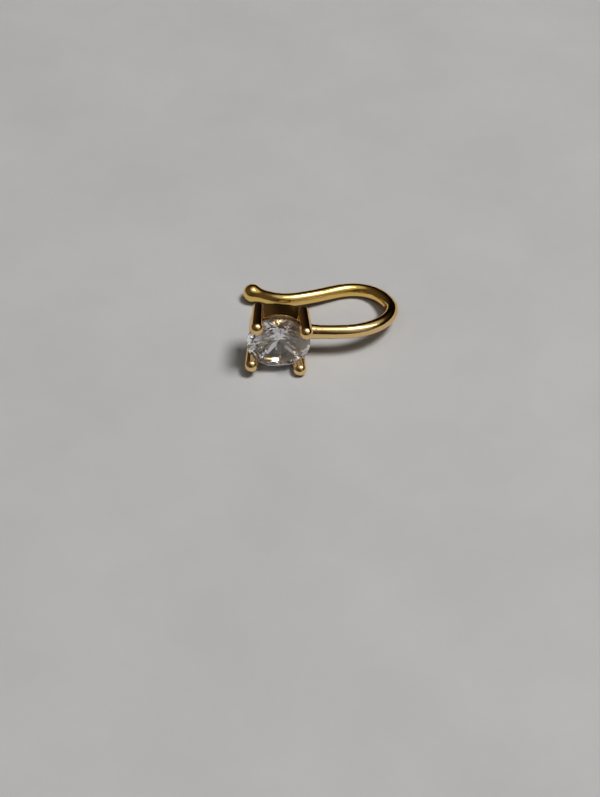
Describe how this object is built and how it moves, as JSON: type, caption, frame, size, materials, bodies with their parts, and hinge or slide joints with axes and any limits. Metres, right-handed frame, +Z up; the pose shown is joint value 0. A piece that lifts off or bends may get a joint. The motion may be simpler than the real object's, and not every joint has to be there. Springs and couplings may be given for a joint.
{
  "type": "nose pin",
  "caption": "Clip-on nose pin with a round clear stone in a clawed cup and a bent wire hook that ends in a ball.",
  "frame": {"origin": "bottom centre of the pin's box, on the surface that it lies on", "axes": "+X from the cup towards the hook's bend, -Y the way the stone faces, +Z up from the surface"},
  "size_m": [0.01, 0.0082, 0.0043],
  "materials": {
    "gold_plated_brass": "polished yellow gold plating",
    "clear_stone": "polished facets"
  },
  "bodies": {
    "root": {"claw_setting_with_hook": "gold_plated_brass", "stone": "clear_stone"}
  },
  "joints": []
}
